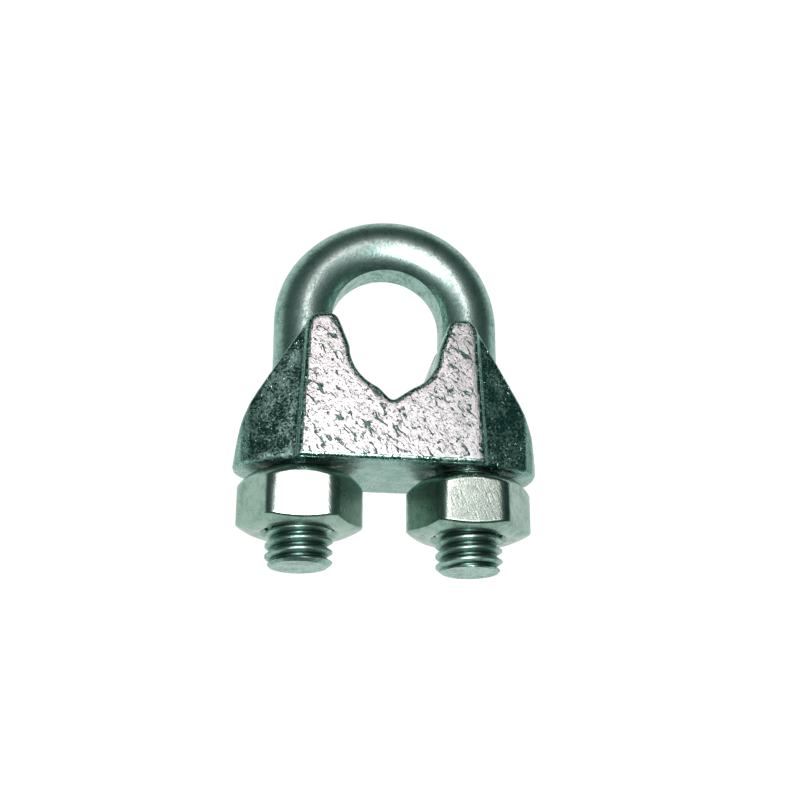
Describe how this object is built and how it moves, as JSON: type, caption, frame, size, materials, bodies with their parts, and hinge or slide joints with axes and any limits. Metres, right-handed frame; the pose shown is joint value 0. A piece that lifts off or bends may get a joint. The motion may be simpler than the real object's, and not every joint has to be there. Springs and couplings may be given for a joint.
{
  "type": "wire rope clip",
  "caption": "U-bolt wire rope clip: a threaded round-bar U-bolt through a cast saddle with a rounded rope seat between horns, drawn up by hexagon nuts.",
  "frame": {"origin": "centre of the bounding box in X and Y, at the back face of the saddle, on which the clip lies", "axes": "+X across the two legs to the right-hand leg seen from the front, +Y along the legs towards the bow of the U-bolt, +Z out of the front face, along the line of the rope"},
  "size_m": [0.0354, 0.0436, 0.0145],
  "materials": {
    "saddle_casting": "zinc coated, as cast",
    "bolt_steel": "zinc coated, smooth",
    "nut_steel": "zinc coated, satin"
  },
  "bodies": {
    "saddle": {"saddle": "saddle_casting"},
    "u_bolt": {"u_bolt": "bolt_steel"},
    "nut_left": {"nut_left": "nut_steel"},
    "nut_right": {"nut_right": "nut_steel"}
  },
  "joints": [
    {"name": "nut_left_turn", "type": "hinge", "parent": "saddle", "child": "nut_left", "pos_m": [-0.00985, -0.01465, 0.00725], "axis": [0, 1, 0], "range_deg": [-1080, 1080]},
    {"name": "nut_right_turn", "type": "hinge", "parent": "saddle", "child": "nut_right", "pos_m": [0.00985, -0.01465, 0.00725], "axis": [0, 1, 0], "range_deg": [-1080, 1080]},
    {"name": "u_bolt_slide", "type": "slide", "parent": "saddle", "child": "u_bolt", "axis": [0, 1, 0], "range_m": [-0.00376, 0.00376]}
  ],
  "couplings": [
    {"joint": "nut_right_turn", "follows": "nut_left_turn", "ratio": 1},
    {"joint": "u_bolt_slide", "follows": "nut_left_turn", "m_per_rad": -0.00019894}
  ]
}
